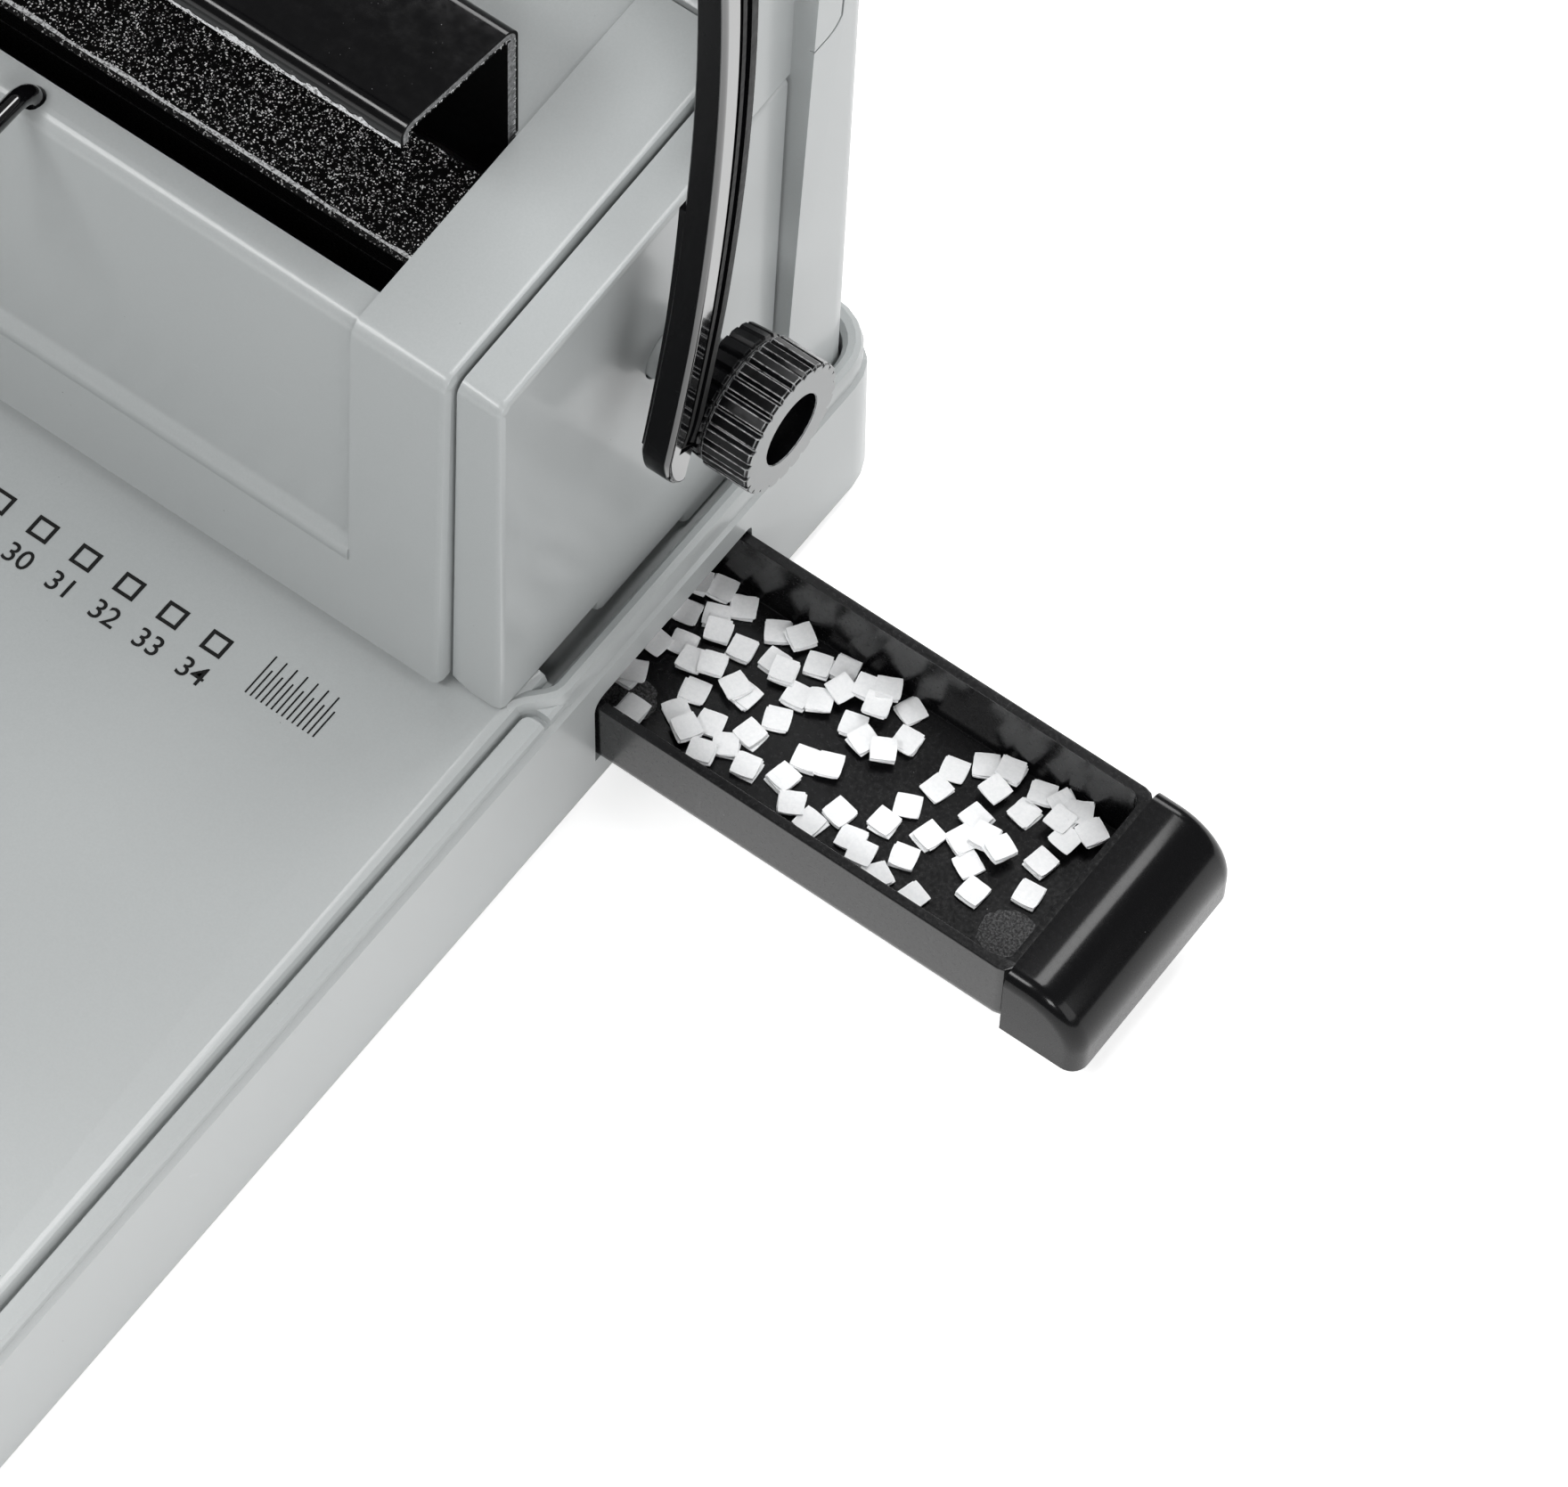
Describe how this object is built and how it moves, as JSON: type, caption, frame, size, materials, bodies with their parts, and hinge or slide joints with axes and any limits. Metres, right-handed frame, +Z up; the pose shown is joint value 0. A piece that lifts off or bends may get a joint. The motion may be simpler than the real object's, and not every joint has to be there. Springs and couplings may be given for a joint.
{
  "type": "manual wire binding machine",
  "caption": "Desktop manual wire binding machine: square-hole punch with a U-shaped lever handle, wire-closing press bar in a top well, printed paper tray and pull-out chip drawer",
  "frame": {"origin": "centre of the bounding box in plan, on the plane that the feet stand on", "axes": "+Z up; +X to the right along the punching row, the way the drawer pulls out; +Y to the back, so the paper tray's open edge faces -Y"},
  "size_m": [0.486, 0.275, 0.2605],
  "materials": {
    "grey_housing": "satin silver-grey moulded ABS, fine grain, soft highlights",
    "black_gloss": "glossy black moulded plastic",
    "black_matt": "black moulded plastic, lightly scratched",
    "black_steel": "gloss black enamelled steel, bare bright cut edges",
    "rough_black": "coarse sparkling black powder coat",
    "steel": "ground tool steel",
    "zinc": "zinc-plated sheet steel",
    "bronze": "sintered bronze",
    "rubber": "black rubber"
  },
  "bodies": {
    "machine": {"base_shell": "grey_housing", "bottom_plate": "zinc", "foot_front_right": "rubber", "foot_front_left": "rubber", "foot_rear_right": "rubber", "foot_rear_left": "rubber", "main_housing": "grey_housing", "side_cheek_right": "grey_housing", "side_cheek_left": "grey_housing", "rear_cover": "grey_housing", "side_plate_right": "zinc", "side_plate_left": "zinc", "shaft_bush_right": "bronze", "shaft_bush_left": "bronze", "tie_beam": "zinc", "lower_die": "steel", "punch_guide": "steel", "guide_post_right": "steel", "guide_post_left": "steel", "return_spring_right": "steel", "return_spring_left": "steel", "closer_bed": "rough_black", "drawer_rail_front": "zinc", "drawer_rail_rear": "zinc", "wire_hook_right": "black_gloss", "wire_hook_left": "black_gloss"},
    "handle": {"handle_arm_right": "black_gloss", "handle_arm_left": "black_gloss", "handle_tube": "black_steel", "handle_grip": "black_matt", "main_shaft": "steel", "shaft_cap": "black_gloss", "punch_cam_right": "steel", "punch_cam_left": "steel", "closer_cam_right": "steel", "closer_cam_left": "steel"},
    "punch": {"punch_bar": "steel", "punch_pins": "steel"},
    "closer": {"press_bar": "black_steel", "press_bracket_right": "zinc", "press_bracket_left": "zinc"},
    "drawer": {"chip_drawer": "black_matt", "drawer_grip": "black_matt"},
    "knob": {"adjust_knob": "black_gloss"},
    "guide": {"edge_guide": "black_matt"},
    "guide_lock": {"guide_lock_knob": "black_gloss"}
  },
  "joints": [
    {"name": "handle_swing", "type": "hinge", "parent": "machine", "child": "handle", "pos_m": [-0.044, 0.0858, 0.0854], "axis": [1, 0, 0], "range_deg": [0, 80]},
    {"name": "punch_travel", "type": "slide", "parent": "machine", "child": "punch", "axis": [0, 0, -1], "range_m": [0, 0.008], "deforming": ["return_spring_right", "return_spring_left"]},
    {"name": "closer_travel", "type": "slide", "parent": "machine", "child": "closer", "axis": [0, 0, -1], "range_m": [0, 0.012]},
    {"name": "drawer_slide", "type": "slide", "parent": "machine", "child": "drawer", "axis": [1, 0, 0], "range_m": [-0.075, 0]},
    {"name": "knob_turn", "type": "hinge", "parent": "handle", "child": "knob", "pos_m": [0.1513, 0.0858, 0.0854], "axis": [1, 0, 0], "continuous": true},
    {"name": "guide_slide", "type": "slide", "parent": "machine", "child": "guide", "axis": [1, 0, 0], "range_m": [-0.003, 0.003]},
    {"name": "guide_lock_turn", "type": "hinge", "parent": "guide", "child": "guide_lock", "pos_m": [-0.203, 0.019, 0.04], "axis": [0, 0, 1], "range_deg": [0, 90]}
  ],
  "couplings": [
    {"joint": "punch_travel", "follows": "handle_swing", "m_per_rad": 0.00572},
    {"joint": "closer_travel", "follows": "handle_swing", "m_per_rad": 0.00859}
  ]
}
